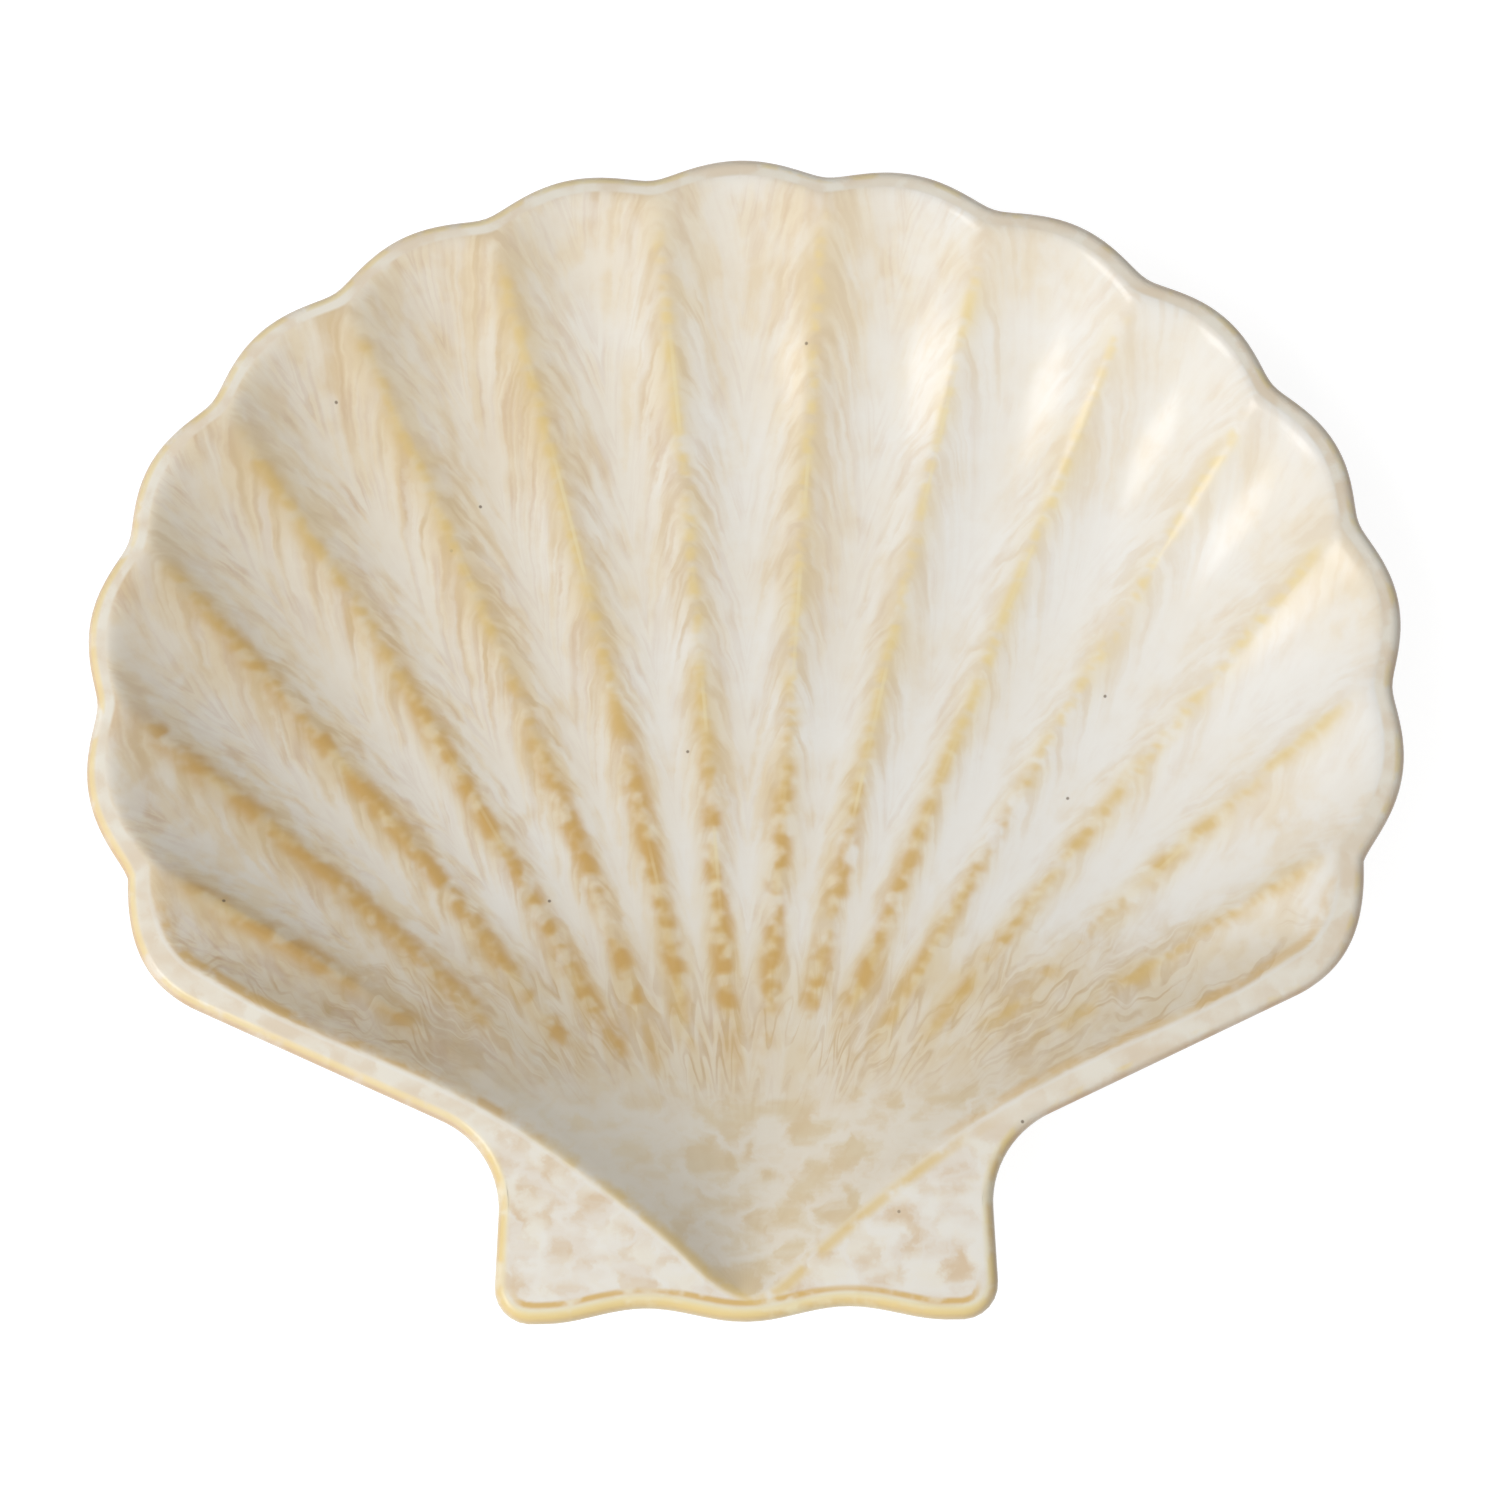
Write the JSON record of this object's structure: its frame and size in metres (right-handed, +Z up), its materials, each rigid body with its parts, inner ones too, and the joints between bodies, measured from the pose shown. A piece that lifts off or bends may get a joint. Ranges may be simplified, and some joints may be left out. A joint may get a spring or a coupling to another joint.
{
  "type": "shell shaped platter",
  "caption": "Shallow glazed serving platter in the shape of a fan shell, with a fluted bowl, a scalloped rim, two flat ears at the hinge and an oval foot ring.",
  "frame": {"origin": "centre of the bounding box, on the flat underside of the foot ring", "axes": "+Z up, out of the bowl; +X across the platter, its longest side; -Y towards the hinge of the shell, the side that faces the viewer in the picture"},
  "size_m": [0.3332, 0.3038, 0.046],
  "materials": {
    "platter": "gloss reactive glaze, off-white with peach, tan and amber"
  },
  "bodies": {
    "root": {"platter": "platter"}
  },
  "joints": []
}
